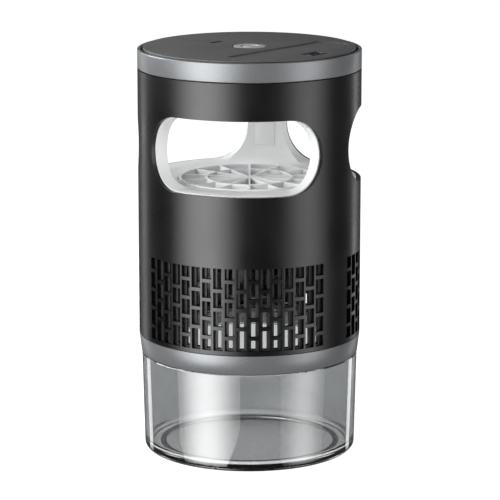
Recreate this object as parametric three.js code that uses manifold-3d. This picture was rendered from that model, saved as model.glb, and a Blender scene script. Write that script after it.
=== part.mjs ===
// A cordless suction insect trap, 200 mm tall. A clear catch cup stands on the floor, and the head
// lifts off it: vented shell, white inner housing with three windows, fan, lamp, battery and controls.
// Millimetres, +Z up, origin at the centre of the base. -Y is the side of the charging socket.
import * as THREE from 'three';
import { mergeGeometries, mergeVertices } from 'three/addons/utils/BufferGeometryUtils.js';
import Module from 'manifold-3d';

const wasm = await Module();
wasm.setup();

// Driving dimensions
const R = 54.5; // outer radius of the body
const GAP = 0.3; // clearance between neighbouring pieces
const VENT_SIDES = 60; // facets of the shell and cage, one to each vent column
const SIDES = 36; // facets of the other large round pieces
const SMALL_SIDES = 10; // facets of screws and pins
const SHELL_WALL = 2.0;
const CORE_R = R - SHELL_WALL - GAP; // outer radius of what slides inside the shell
const CUP_TOP = 49.0;
const COLLAR = { low: 49.3, high: 58.7, lowR: 53.4 };
const SHELL = { low: 59.0, high: 189.7 };
const TOP_RING = { low: 190.0, high: 199.2, lipR: 52.6 };
const TOP = 200.0; // upper face of the top plate
const PLATE = { low: 195.0, r: 51.7 };
const WINDOW = { low: 135.5, high: 171.8, halfDeg: 49.5 };
const VENT = { low: 61.0, high: 101.2, pitchDeg: 6, columns: 17, width: 4.75, bar: 1.65, rise: 9.17 };
const DECK = 135.4; // floor of the intake chamber
const CHAMBER_R = 46.0;
const DUCT_R = 35.0; // seat of the intake grille
const GRILLE = { r: 34.6, ringR: 20.9, vanes: 14, depth: 4.2, high: 135.7, turnDeg: -140 };
const HUB_Z = 77; // underside of the fan hub
const BRACKET = { low: 108, high: 110.5 };
const TRAY = { low: 175.8, floor: 177.8, high: 188 };
const BOARD = { low: 186, high: 187.6, halfX: 17, minY: -45.5, maxY: 12 };
const BUTTON_R = 8.0;
const BUTTON_TRAVEL = 0.8;
const HANDLE = { pivotY: -16.8, pivotZ: 198.5, edgeR: 1.3, outerY: -35.2, halfX: 34.0 };
const PORT = { y: -40.5, width: 12.7, depth: 8.4 };
const SENSOR = { y: 21.1, width: 8.7, depth: 2.7 };
const SCREW = { shankR: 1.0, holeR: 1.3 };
const CABLE = { r: 1.0, at: 47.9, deg: 30 };
const SIDE_DEGS = [90, 210, 330]; // middles of the windows and vent panels
const PILLAR_DEGS = [30, 150, 270]; // middles of the pillars between the windows

const DEG = Math.PI / 180;
const object = new THREE.Group();

// ---- Solids, cuts and joins ----
function bare(geometry) {
  geometry.deleteAttribute('normal');
  geometry.deleteAttribute('uv');
  return mergeVertices(geometry, 1e-4);
}

function solid(geometry) {
  const g = bare(geometry);
  const vertProperties = new Float32Array(g.attributes.position.array);
  const triVerts = new Uint32Array(g.index.array);
  return new wasm.Manifold(new wasm.Mesh({ numProp: 3, vertProperties, triVerts }));
}

function geometryOf(body) {
  const mesh = body.getMesh();
  const g = new THREE.BufferGeometry();
  g.setAttribute('position', new THREE.BufferAttribute(new Float32Array(mesh.vertProperties), 3));
  g.setIndex(new THREE.BufferAttribute(new Uint32Array(mesh.triVerts), 1));
  g.computeVertexNormals();
  return g;
}

function cut(geometry, ...tools) {
  let body = solid(geometry);
  for (const tool of tools) body = body.subtract(solid(tool));
  return geometryOf(body);
}

function join(...geometries) {
  let body = solid(geometries[0]);
  for (const geometry of geometries.slice(1)) body = body.add(solid(geometry));
  return geometryOf(body);
}

// ---- Basic forms ----
// A closed profile of [radius, height] points, counter-clockwise, turned about the Z axis.
function turned(profile, sides = SIDES) {
  const points = profile.map(([r, z]) => new THREE.Vector2(r, z));
  if (profile[0][0] > 0) points.push(points[0].clone());
  const g = new THREE.LatheGeometry(points, sides, Math.PI / sides);
  return g.rotateX(Math.PI / 2);
}

function tube(innerR, outerR, low, high, sides = SIDES) {
  return turned([[outerR, low], [outerR, high], [innerR, high], [innerR, low]], sides);
}

function rod(r, low, high, sides = SMALL_SIDES) {
  return turned([[0, low], [r, low], [r, high], [0, high]], sides);
}

function block(x, y, z, cx, cy, low) {
  return new THREE.BoxGeometry(x, y, z).translate(cx, cy, low + z / 2);
}

// A rounded rectangle standing from low to high.
function roundedBlock(x, y, corner, low, high, cx, cy) {
  const a = x / 2 - corner;
  const b = y / 2 - corner;
  const s = new THREE.Shape();
  s.absarc(a, b, corner, 0, Math.PI / 2);
  s.absarc(-a, b, corner, Math.PI / 2, Math.PI);
  s.absarc(-a, -b, corner, Math.PI, 1.5 * Math.PI);
  s.absarc(a, -b, corner, 1.5 * Math.PI, 2 * Math.PI);
  const g = new THREE.ExtrudeGeometry(s, { depth: high - low, bevelEnabled: false, curveSegments: 3 });
  return g.translate(cx, cy, low);
}

function around(geometry, deg) {
  return geometry.clone().rotateZ(deg * DEG);
}

function polar(r, deg) {
  return [r * Math.cos(deg * DEG), r * Math.sin(deg * DEG)];
}

// Quarter-round profile points about (cr, cz), from one angle to another.
function arc(cr, cz, radius, fromDeg, toDeg, steps) {
  const points = [];
  for (let i = 0; i <= steps; i += 1) {
    const t = (fromDeg + ((toDeg - fromDeg) * i) / steps) * DEG;
    points.push([cr + radius * Math.cos(t), cz + radius * Math.sin(t)]);
  }
  return points;
}

function add(name, geometry, colour, roughness, metalness = 0) {
  const material = new THREE.MeshStandardMaterial({ color: colour, roughness, metalness });
  const mesh = new THREE.Mesh(geometry, material);
  mesh.name = name;
  object.add(mesh);
  return mesh;
}

// A pan-head screw with its head on top, the underside of the head at z = 0.
function panScrew(length, headR = 1.8) {
  return turned([
    [0, -length], [SCREW.shankR, -length], [SCREW.shankR, 0], [headR, 0], [headR, 1.3], [0, 1.3],
  ], SMALL_SIDES);
}

function addScrew(name, length, x, y, z, headDown = false) {
  const mesh = add(name, panScrew(length), 0xb9bcc0, 0.35, 1);
  if (headDown) mesh.rotation.x = Math.PI;
  mesh.position.set(x, y, z);
}

// A round-ended opening that runs through a round wall with its sides on radial planes.
function windowCutter(innerR, outerR, low, high, halfDeg, centreDeg) {
  const endR = (high - low) / 2;
  const middle = (high + low) / 2;
  const endDeg = endR / R / DEG;
  const stations = [];
  const endSteps = 6;
  for (let i = 0; i <= endSteps; i += 1) {
    const t = (-88 + (88 * i) / endSteps) * DEG;
    stations.push([-halfDeg + endDeg + endDeg * Math.sin(t), endR * Math.cos(t)]);
  }
  const flatSteps = 6;
  const start = -halfDeg + endDeg;
  for (let i = 1; i < flatSteps; i += 1) stations.push([start - (2 * start * i) / flatSteps, endR]);
  for (let i = endSteps; i >= 0; i -= 1) stations.push([-stations[i][0], stations[i][1]]);
  const count = stations.length - 1;
  const g = new THREE.BoxGeometry(count, 2, 2, count, 1, 1);
  const p = g.attributes.position;
  for (let i = 0; i < p.count; i += 1) {
    const [deg, half] = stations[Math.round(p.getX(i) + count / 2)];
    const [x, y] = polar(p.getZ(i) > 0 ? outerR : innerR, deg + centreDeg);
    p.setXYZ(i, x, y, middle + p.getY(i) * half);
  }
  return g;
}

// ---- Catch cup ----
function addCup() {
  const footR = 41.5;
  const footOuterR = 44.4;
  const base = 0.5;
  const neck = { outerR: 51.9, innerR: 50.2, high: 56.0 };
  const profile = [
    [0, base], [footR, base], [footR, 2.2], [footOuterR, 2.2], [footOuterR, base],
    ...arc(49.5, base + 2.5, 2.5, -90, 0, 3), [53.1, CUP_TOP],
    [neck.outerR, CUP_TOP], [neck.outerR, neck.high], [neck.innerR, neck.high],
    ...arc(46.5, 7.1, 3.5, 0, -90, 3), [0, 3.6],
  ];
  add('catch_cup', turned(profile), 0xb8bbbd, 0.08);
  add('foot_ring', tube(footR + GAP, footOuterR - GAP, 0, 1.9), 0x141414, 0.8);
  add('cup_seal', tube(neck.innerR + 0.2, neck.outerR - 0.2, neck.high + GAP, 57.3), 0x1c1c1c, 0.7);
}

// ---- Collar that fits over the cup ----
function addCollar() {
  const socketR = 52.2;
  const flangeR = 45.5;
  const flangeLow = 57.6;
  const ring = turned([
    [COLLAR.lowR, COLLAR.low], [R, COLLAR.high], [flangeR, COLLAR.high],
    [flangeR, flangeLow], [socketR, flangeLow], [socketR, COLLAR.low],
  ]);
  const screwAt = PILLAR_DEGS.map((deg) => polar(47.9, deg));
  const holes = screwAt.map(([x, y]) => rod(SCREW.holeR, 56, 60).translate(x, y, 0));
  add('collar_ring', cut(ring, ...holes), 0x8c8f93, 0.3, 0.9);
  screwAt.forEach(([x, y], i) => addScrew(`collar_screw_${i + 1}`, 3.2, x, y, flangeLow - GAP, true));
}

// ---- Outer shell and the slotted cage behind its vents ----
function ventColumns() {
  const columns = [];
  const middle = (VENT.low + VENT.high) / 2;
  for (const side of SIDE_DEGS) {
    for (let c = 0; c < VENT.columns; c += 1) {
      const deg = side + (c - (VENT.columns - 1) / 2) * VENT.pitchDeg;
      const bars = c % 2 === 0 ? [-1.5, -0.5, 0.5, 1.5] : [-1, 0, 1];
      columns.push({ deg, bars: bars.map((b) => middle + b * VENT.rise) });
    }
  }
  return columns;
}

function addShell() {
  const holes = [];
  for (const { deg, bars } of ventColumns()) {
    const edges = [VENT.low, ...bars.flatMap((z) => [z - VENT.bar / 2, z + VENT.bar / 2]), VENT.high];
    for (let i = 0; i < edges.length; i += 2) {
      const hole = block(8, VENT.width, edges[i + 1] - edges[i], R, 0, edges[i]);
      holes.push(around(hole, deg));
    }
  }
  const windows = SIDE_DEGS.map((deg) => (
    windowCutter(48, 60, WINDOW.low, WINDOW.high, WINDOW.halfDeg, deg)));
  const wall = tube(R - SHELL_WALL, R, SHELL.low, SHELL.high, VENT_SIDES);
  add('outer_shell', cut(wall, mergeGeometries(holes.map(bare)), ...windows), 0x1b1b1c, 0.42);
}

function addCage() {
  const wallR = CORE_R - 1.5;
  const footR = 45.5;
  const footHigh = 60.8;
  const cage = turned([
    [CORE_R, SHELL.low], [CORE_R, 103.0], [wallR, 103.0],
    [wallR, footHigh], [footR, footHigh], [footR, SHELL.low],
  ], VENT_SIDES);
  const slitLow = VENT.low + 0.5;
  const slitHeight = VENT.high - VENT.low - 1.0;
  const slitWidth = 2.0;
  const slits = ventColumns().map(({ deg }) => around(block(6, slitWidth, slitHeight, 51.4, 0, slitLow), deg));
  const holes = PILLAR_DEGS.map((deg) => {
    const [x, y] = polar(47.9, deg);
    return rod(SCREW.holeR, 58, 62).translate(x, y, 0);
  });
  add('vent_cage', cut(cage, mergeGeometries(slits.map(bare)), ...holes), 0x2a2a2b, 0.5);
}

// ---- White inner housing: chamber walls, deck and duct ----
function addHousing() {
  const skirtR = CORE_R - 2.0;
  const ductLow = BRACKET.high + GAP;
  const profile = [
    [CORE_R, 103.3], [CORE_R, 175.5], [CHAMBER_R, 175.5],
    ...arc(CHAMBER_R - 6.6, DECK + 6.6, 6.6, 0, -90, 4),
    [DUCT_R, DECK], [DUCT_R, 131.2], [DUCT_R - 1.6, 131.2], [DUCT_R - 1.6, 130], [38.8, 116],
    [38.8, ductLow], [42.5, ductLow], [42.5, 113.4], [40.6, 113.4], [40.6, 116.5],
    [36.6, 132.6], [skirtR, 132.6], [skirtR, 103.3],
  ];
  const cutters = SIDE_DEGS.map((deg) => (
    windowCutter(36, 60, WINDOW.low + 0.3, WINDOW.high - 0.4, WINDOW.halfDeg - 0.5, deg)));
  const channel = block(2.6, 6, 46, CHAMBER_R + 1.9, 0, 130.5);
  const coverSeat = block(2.4, 10, 34, CHAMBER_R - 0.3, 0, 143);
  const cableExit = new THREE.CylinderGeometry(1.8, 1.8, 8, SMALL_SIDES).rotateZ(Math.PI / 2);
  cutters.push(...[channel, coverSeat, cableExit.translate(39.5, 0, 115.5)].map((g) => around(g, CABLE.deg)));
  for (const deg of PILLAR_DEGS) {
    const [bx, by] = polar(40.5, deg);
    const [tx, ty] = polar(47.6, deg + 6.5);
    cutters.push(rod(SCREW.holeR, 108, 112.6).translate(bx, by, 0));
    cutters.push(rod(SCREW.holeR, 170, 178).translate(tx, ty, 0));
  }
  add('inner_housing', cut(turned(profile), ...cutters), 0xdedfdf, 0.45);
  const cover = block(1.3, 9.4, 31.9, CHAMBER_R - 0.15, 0, 143.3);
  add('cable_cover', around(cover, CABLE.deg), 0xd6d7d7, 0.45);
}

// ---- Intake grille ----
function addGrille() {
  const vane = 1.2;
  const low = GRILLE.high - GRILLE.depth;
  const rings = [
    tube(GRILLE.r - 1.2, GRILLE.r, low, GRILLE.high),
    tube(GRILLE.ringR - 0.6, GRILLE.ringR + 0.6, low, GRILLE.high, 28),
    rod(2.3, low, GRILLE.high, 12),
  ];
  const vanes = [];
  for (let i = 0; i < GRILLE.vanes; i += 1) {
    const blade = block(GRILLE.r - 1.6, vane, GRILLE.depth - 0.2, (GRILLE.r - 0.4) / 2 + 0.4, 0, low + 0.1);
    vanes.push(around(blade, GRILLE.turnDeg + (360 / GRILLE.vanes) * i));
  }
  add('intake_grille', join(...rings, ...vanes), 0xd9dada, 0.45);
}

// ---- Fan: bracket, motor, shaft and rotor ----
function addFan() {
  const plateR = 18.5;
  const ring = tube(37.2, 42.3, BRACKET.low, BRACKET.high);
  const plate = tube(12.6, plateR, BRACKET.low, BRACKET.high, 24);
  const arm = block(21, 6, BRACKET.high - BRACKET.low - 0.2, 28, 0, BRACKET.low + 0.1);
  const arms = PILLAR_DEGS.map((deg) => around(arm, deg));
  const rimHoles = PILLAR_DEGS.map((deg) => rod(SCREW.holeR, 107, 112).translate(...polar(40.5, deg), 0));
  const motorHoles = SIDE_DEGS.map((deg) => rod(SCREW.holeR, 104, 112).translate(...polar(15, deg), 0));
  add('motor_bracket', cut(join(ring, plate, ...arms), ...rimHoles, ...motorHoles), 0x232324, 0.5);
  PILLAR_DEGS.forEach((deg, i) => {
    addScrew(`bracket_screw_${i + 1}`, 4.2, ...polar(40.5, deg), BRACKET.low - GAP, true);
  });
  const motor = turned([
    [0, 108], [1.3, 108], [1.3, 96], [3.5, 96], [3.5, 97.5], [12.3, 97.5], [12.3, 105.2],
    [17.5, 105.2], [17.5, 107.7], [12.3, 107.7], [12.3, 116.3], [0, 116.3],
  ], 24);
  add('fan_motor', cut(motor, ...motorHoles), 0xa8abae, 0.35, 0.9);
  SIDE_DEGS.forEach((deg, i) => {
    addScrew(`motor_screw_${i + 1}`, 4.4, ...polar(15, deg), BRACKET.high + GAP);
  });
  add('fan_shaft', rod(1.0, HUB_Z + 6, 107.5), 0xc2c5c8, 0.25, 1);
  addRotor();
}

function addRotor() {
  const hubR = 14;
  const hubHigh = 95;
  const hub = turned([
    [0, HUB_Z], [hubR - 2, HUB_Z], [hubR, HUB_Z + 2], [hubR, hubHigh], [hubR - 2, hubHigh],
    [hubR - 2, 84], [1.3, 84], [1.3, HUB_Z + 5.7], [0, HUB_Z + 5.7],
  ], 21);
  const bladeCount = 7;
  const tipR = 38;
  const rootR = hubR - 1;
  const blades = [];
  for (let i = 0; i < bladeCount; i += 1) {
    const g = new THREE.BoxGeometry(2, 1.4, 2, 4, 1, 3);
    const p = g.attributes.position;
    for (let k = 0; k < p.count; k += 1) {
      const along = (p.getX(k) + 1) / 2;
      const chord = p.getZ(k);
      const r = rootR + (tipR - rootR) * along;
      const pitch = (52 - 20 * along) * DEG;
      const half = 8.5 + 6.0 * along;
      const side = chord * half * Math.cos(pitch) + p.getY(k) * Math.sin(pitch) + 2.5 * chord * chord;
      const lift = chord * half * Math.sin(pitch) - p.getY(k) * Math.cos(pitch);
      const sweep = side / r + 0.25 * along;
      p.setXYZ(k, r * Math.cos(sweep), r * Math.sin(sweep), 86 + lift);
    }
    blades.push(around(g, (360 / bladeCount) * i));
  }
  add('fan_rotor', join(hub, ...blades), 0x2e2e2f, 0.4);
}

// ---- Cable from the control board down one pillar to the motor ----
function addCable() {
  const at = (r, z) => new THREE.Vector3(...polar(r, CABLE.deg), z);
  const route = new THREE.CatmullRomCurve3([
    new THREE.Vector3(14, 4, BOARD.low - 0.5), new THREE.Vector3(14, 4, BOARD.low - 1.5),
    new THREE.Vector3(15.4, 5, 183), new THREE.Vector3(18, 7, 182.2), new THREE.Vector3(29, 14, 182.2),
    at(45, 182.4), at(47.2, 181.3), at(CABLE.at, 178.5), at(CABLE.at, 172), at(CABLE.at, 160),
    at(CABLE.at, 145), at(CABLE.at, 132), at(CABLE.at, 124), at(47.0, 119), at(44.2, 116.2),
    at(40.5, 115.5), at(34, 115), at(24, 114), at(16, 113.7), at(12.3 + GAP, 113.7),
  ], false, 'centripetal');
  const section = new THREE.Shape().absarc(0, 0, CABLE.r, 0, 2 * Math.PI);
  const steps = { steps: 44, bevelEnabled: false, curveSegments: 4, extrudePath: route };
  add('motor_cable', new THREE.ExtrudeGeometry(section, steps), 0x1a1a1a, 0.5);
}

// ---- Lamp tray with everything it carries ----
function addTray() {
  const lampHoleR = 11.7;
  const tray = turned([
    [lampHoleR, TRAY.low], [CORE_R, TRAY.low], [CORE_R, TRAY.high], [CORE_R - 2, TRAY.high],
    [CORE_R - 2, TRAY.floor], [lampHoleR, TRAY.floor],
  ]);
  const posts = [[-14.4, 9.4], [13, -33]];
  const solids = posts.map(([x, y]) => rod(2.6, TRAY.floor - 0.8, BOARD.low - GAP).translate(x, y, 0));
  const bores = posts.map(([x, y]) => rod(SCREW.holeR, 179, 188).translate(x, y, 0));
  const cableHole = rod(1.8, 175, 179).translate(...polar(CABLE.at, CABLE.deg), 0);
  const screwAt = PILLAR_DEGS.map((deg) => polar(47.6, deg + 6.5));
  const screwHoles = screwAt.map(([x, y]) => rod(SCREW.holeR, 175, 179).translate(x, y, 0));
  add('lamp_tray', cut(join(tray, ...solids), ...bores, cableHole, ...screwHoles), 0xe2e3e3, 0.45);
  screwAt.forEach(([x, y], i) => addScrew(`tray_screw_${i + 1}`, 6, x, y, TRAY.floor + GAP));

  const lens = [[0, 172.6], [6, 172.9], [11, 173.7], [14, 174.6], [15, 175.5], [0, 175.5]];
  add('lamp_lens', turned(lens, 24), 0xcfc8e6, 0.25);
  add('lamp_board', rod(14, TRAY.floor + GAP, 179.6, 24), 0xe6e8ea, 0.5);
  const lampCount = 6;
  for (let i = 0; i < lampCount; i += 1) {
    const lamp = block(4.6, 4.6, 1.2, 8.2, 0, 176.6);
    add(`lamp_led_${i + 1}`, around(lamp, (360 / lampCount) * i), 0xe9e3c8, 0.3);
  }
  add('battery_pack', roundedBlock(50, 24, 2.5, TRAY.floor + GAP, 187.1, 0, 29), 0x3f6fa8, 0.45);

  const { halfX, minY, maxY, low, high } = BOARD;
  const board = roundedBlock(2 * halfX, maxY - minY, 1.5, low, high, 0, (maxY + minY) / 2);
  const boardHoles = posts.map(([x, y]) => rod(SCREW.holeR, 185, 189).translate(x, y, 0));
  add('control_board', cut(board, ...boardHoles), 0x1f5a3a, 0.5);
  posts.forEach(([x, y], i) => addScrew(`board_screw_${i + 1}`, 6, x, y, high + GAP));
  const switchBase = high + GAP;
  const button = rod(1.7, switchBase + 2, switchBase + 3.5);
  add('button_switch', join(block(6, 6, 3, 0, 0, switchBase), button), 0x2b2b2c, 0.4);
}

// ---- Charging socket ----
function addSocket() {
  const { y } = PORT;
  const base = BOARD.high + GAP;
  const surround = roundedBlock(PORT.width - 2 * GAP, PORT.depth - 2 * GAP, 0.5, 190, TOP - 0.2, 0, y);
  const mouth = roundedBlock(9.6, 3.9, 1.9, 189, 201, 0, y);
  add('socket_surround', cut(surround, mouth), 0x0e0e0e, 0.55);
  const can = roundedBlock(8.9, 3.2, 1.5, base, TOP - 0.6, 0, y);
  const cavity = roundedBlock(8.3, 2.6, 1.2, base + 1.2, 201, 0, y);
  add('charging_socket', cut(can, cavity), 0xc6c9cc, 0.25, 1);
  add('socket_tongue', block(6.6, 0.7, 7.0, 0, y, base + 1.2 + GAP), 0x111111, 0.5);
}

// ---- Top ring, top plate, button, sensor window and handle ----
function addTopRing() {
  const flangeR = 47.0;
  const flangeHigh = 192.0;
  const ring = turned([
    [R, TOP_RING.low], [R, TOP_RING.high - 0.5], [R - 0.5, TOP_RING.high], [TOP_RING.lipR, TOP_RING.high],
    [TOP_RING.lipR, flangeHigh], [flangeR, flangeHigh], [flangeR, TOP_RING.low],
  ]);
  const screwAt = [0, 120, 240].map((deg) => polar(49.4, deg));
  const holes = screwAt.map(([x, y]) => rod(SCREW.holeR, 189, 193).translate(x, y, 0));
  add('top_ring', cut(ring, ...holes), 0x8c8f93, 0.3, 0.9);
  screwAt.forEach(([x, y], i) => {
    addScrew(`top_screw_${i + 1}`, 5, x, y, TOP_RING.low - GAP, true);
  });
  return screwAt;
}

// The handle's outline seen from above, grown by a margin for the recess it lies in.
function handleOutline(margin) {
  const { pivotY, outerY, halfX } = HANDLE;
  const x = halfX + margin;
  const y = outerY - margin;
  const s = new THREE.Shape();
  s.moveTo(-x, pivotY);
  s.bezierCurveTo(-x, pivotY - 5, -x - 5.5, y + 0.4, -x + 6, y);
  s.lineTo(x - 6, y);
  s.bezierCurveTo(x + 5.5, y + 0.4, x, pivotY - 5, x, pivotY);
  return s;
}

function handleForm(margin, low, high) {
  const { pivotY, pivotZ, edgeR, halfX } = HANDLE;
  const plate = new THREE.ExtrudeGeometry(handleOutline(margin), {
    depth: high - low, bevelEnabled: false, curveSegments: 10,
  }).translate(0, 0, low);
  const r = edgeR + margin;
  const length = 2 * (halfX + margin);
  const edge = new THREE.CylinderGeometry(r, r, length, 16).rotateZ(Math.PI / 2);
  return [plate, edge.translate(0, pivotY, pivotZ)];
}

function pinBore(side) {
  const bore = new THREE.CylinderGeometry(1.05, 1.05, 8.6, SMALL_SIDES).rotateZ(Math.PI / 2);
  return bore.translate(side * 34.0, HANDLE.pivotY, HANDLE.pivotZ);
}

function addTopPlate(screwAt) {
  const skirtR = 47.4;
  const skirtLow = 192.3;
  const plate = turned([
    [0, PLATE.low], [skirtR, PLATE.low], [skirtR, skirtLow], [PLATE.r, skirtLow],
    [PLATE.r, TOP - 0.4], [PLATE.r - 0.4, TOP], [0, TOP],
  ]);
  const recessFloor = HANDLE.pivotZ - HANDLE.edgeR - 0.4;
  const [flat, edge] = handleForm(0.4, recessFloor, TOP + 1);
  const overEdge = block(2 * (HANDLE.halfX + 0.4), 1.7, 3, 0, HANDLE.pivotY + 0.85, HANDLE.pivotZ);
  const cutters = [
    flat, edge, overEdge, pinBore(1), pinBore(-1), rod(BUTTON_R + 0.4, 194, 201, 24),
    block(PORT.width, PORT.depth, 8, 0, PORT.y, 194),
    roundedBlock(SENSOR.width, SENSOR.depth, 1.0, 194, 201, 0, SENSOR.y),
    ...screwAt.map(([x, y]) => rod(SCREW.holeR, 191, 196).translate(x, y, 0)),
  ];
  add('top_plate', cut(plate, ...cutters), 0x4a4a4b, 0.55);
}

function addControls() {
  const flangeR = BUTTON_R + 1.6;
  const stemLow = BOARD.high + GAP + 3.5 + BUTTON_TRAVEL + GAP;
  add('power_button', turned([
    [0, stemLow], [2, stemLow], [2, 193.3], [flangeR, 193.3], [flangeR, PLATE.low - GAP],
    [BUTTON_R, PLATE.low - GAP], [BUTTON_R, TOP - 0.3], [BUTTON_R - 0.3, TOP],
    [4.3, TOP], [4.3, TOP - 0.35], [3.5, TOP - 0.35], [3.5, TOP], [0, TOP],
  ], 24), 0x9fa2a6, 0.3, 0.9);
  const insert = roundedBlock(SENSOR.width - 2 * GAP, SENSOR.depth - 2 * GAP, 0.8, 195.4, TOP - 0.1, 0, SENSOR.y);
  add('sensor_window', insert, 0x060606, 0.15);
}

function addHandle() {
  const { pivotY, pivotZ, edgeR, halfX } = HANDLE;
  const [flat, edge] = handleForm(0, pivotZ - edgeR, pivotZ + edgeR);
  // A lip narrows the gap at the hinge and still turns clear of the groove.
  const lipOut = 0.85;
  const lip = block(2 * halfX, 2 * lipOut, edgeR + 1, 0, pivotY, pivotZ - 1);
  add('fold_handle', cut(join(flat, edge, lip), pinBore(1), pinBore(-1)), 0x4a4a4b, 0.55);
  for (const [name, side] of [['handle_pin_left', -1], ['handle_pin_right', 1]]) {
    const pin = new THREE.CylinderGeometry(0.75, 0.75, 7.8, SMALL_SIDES).rotateZ(Math.PI / 2);
    add(name, pin.translate(side * 34.0, pivotY, pivotZ), 0xb9bcc0, 0.3, 1);
  }
}

addCup();
addCollar();
addShell();
addCage();
addHousing();
addGrille();
addFan();
addCable();
addTray();
addSocket();
addTopPlate(addTopRing());
addControls();
addHandle();

export default object;
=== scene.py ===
# %% [markdown]
# # A suction insect trap around its engineering model
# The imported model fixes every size, place and joint. This lesson builds the surfaces that the eye
# sees: a smoke-clear cup, a satin black shell with a brick pattern of vents, a white intake chamber
# and silver rings. Each cell makes one piece or one finish and prints what came out.

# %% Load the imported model
import math

import bpy
from mathutils import Matrix, Vector


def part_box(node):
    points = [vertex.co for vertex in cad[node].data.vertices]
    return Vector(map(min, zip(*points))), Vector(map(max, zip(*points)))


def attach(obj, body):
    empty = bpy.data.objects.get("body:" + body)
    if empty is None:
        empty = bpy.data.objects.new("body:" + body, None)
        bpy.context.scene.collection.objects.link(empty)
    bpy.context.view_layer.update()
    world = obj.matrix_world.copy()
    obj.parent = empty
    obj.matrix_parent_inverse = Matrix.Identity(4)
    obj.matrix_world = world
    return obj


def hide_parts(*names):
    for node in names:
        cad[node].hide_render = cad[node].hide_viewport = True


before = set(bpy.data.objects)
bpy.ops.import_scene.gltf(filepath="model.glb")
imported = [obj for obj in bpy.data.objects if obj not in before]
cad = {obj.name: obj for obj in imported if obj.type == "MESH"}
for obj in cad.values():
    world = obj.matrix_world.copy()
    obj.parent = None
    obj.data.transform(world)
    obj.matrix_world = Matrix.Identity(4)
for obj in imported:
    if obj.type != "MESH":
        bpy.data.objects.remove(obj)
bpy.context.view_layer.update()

# %% [markdown]
# Sizes come from the imported model, so the looks can't drift away from the engineering model. The round CAD
# pieces have flat facets, and the true circle is kept just inside the box of the faceted shell.

# %% Main sizes
MM = 0.001
DEG = math.pi / 180


def heights(node):
    """The lowest and the highest height of a CAD node."""
    low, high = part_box(node)
    return low[2], high[2]


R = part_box("outer_shell")[1][0]          # outer radius of the body
PLATE_SKIRT, TOP = heights("top_plate")  # the plate's lower edge and its upper face
SHELL_LOW, SHELL_HIGH = heights("outer_shell")
COLLAR_LOW, COLLAR_HIGH = heights("collar_ring")
RING_LOW, RING_HIGH = heights("top_ring")
WALL = 2.0 * MM
CORE_R = R - WALL - 0.3 * MM             # outer radius of what slides inside the shell
CHAMBER_R = 46.0 * MM
DECK = 135.4 * MM                        # floor of the intake chamber
GAP = 0.4 * MM                           # free play around the handle
SIDES = (90, 210, 330)                   # middles of the windows and vent panels, in degrees
PILLARS = (30, 150, 270)
FULL_TURN = 288                          # steps in the largest turned pieces
print(f"radius {R / MM:.2f} mm, height {TOP / MM:.2f} mm")

# %% [markdown]
# ## Camera
# A long lens stands a good metre away and looks down by some 12 degrees, from the left of the
# charging socket's side. A long lens keeps the body's sides nearly parallel.

# %% Camera
CAMERA_DEG = -140.0                      # where the camera stands about the axis
CAMERA_FAR, CAMERA_HIGH = 1304.185 * MM, 383.6255 * MM
CAMERA_PITCH = 12.318


def about_axis(distance, turn_deg, height):
    """A place about the body's axis, turned from the camera's own direction."""
    a = (CAMERA_DEG + turn_deg) * DEG
    return Vector((distance * math.cos(a), distance * math.sin(a), height))


camera_data = bpy.data.cameras.new("studio_camera")
camera_data.lens = 195.3
camera_data.sensor_width = 36.0
camera_data.shift_x = 0.001
camera_data.clip_end = 20.0
camera = bpy.data.objects.new("studio_camera", camera_data)
camera.location = about_axis(CAMERA_FAR, 0, CAMERA_HIGH)
camera.rotation_euler = ((90 - CAMERA_PITCH) * DEG, 0, (CAMERA_DEG + 90) * DEG)
bpy.context.scene.collection.objects.link(camera)
bpy.context.scene.camera = camera
print("camera at", [round(c, 3) for c in camera.location])

# %% [markdown]
# ## Floor, sky and lamps
# Two tall soft boxes stand left and right of the camera and draw the long upright highlights on the
# rings and the shell, and two narrow ones behind draw the rims. The sky is white to the eye but
# weaker as a light, so black plastic stays black.

# %% Studio
def deselect():
    if bpy.context.mode != "OBJECT":
        bpy.ops.object.mode_set(mode="OBJECT")
    bpy.ops.object.select_all(action="DESELECT")


def soft_box(name, turn_deg, far, width, height, power, side_glow=1.0, centre_z=0.10):
    """An area lamp that fades from its middle to side_glow at its left and right sides."""
    lamp = bpy.data.lights.new(name, "AREA")
    lamp.shape = "RECTANGLE"
    lamp.size = width
    lamp.size_y = height
    lamp.energy = power
    lamp.use_nodes = True
    tree = lamp.node_tree
    across = tree.nodes.new("ShaderNodeSeparateXYZ")
    fade = tree.nodes.new("ShaderNodeValToRGB")
    fade.color_ramp.interpolation = "EASE"
    fade.color_ramp.elements.new(0.5)
    for stop, glow in zip(fade.color_ramp.elements, (side_glow, 1.0, side_glow)):
        stop.color = (glow, glow, glow, 1)
    tree.links.new(tree.nodes.new("ShaderNodeNewGeometry").outputs["Parametric"], across.inputs[0])
    tree.links.new(across.outputs["X"], fade.inputs[0])
    tree.links.new(fade.outputs[0], tree.nodes["Emission"].inputs["Color"])
    holder = bpy.data.objects.new(name, lamp)
    holder.location = about_axis(far, turn_deg, centre_z + 0.15)
    toward = Vector((0, 0, centre_z)) - holder.location
    holder.rotation_euler = toward.to_track_quat("-Z", "Y").to_euler()
    bpy.context.scene.collection.objects.link(holder)
    return holder


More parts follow.
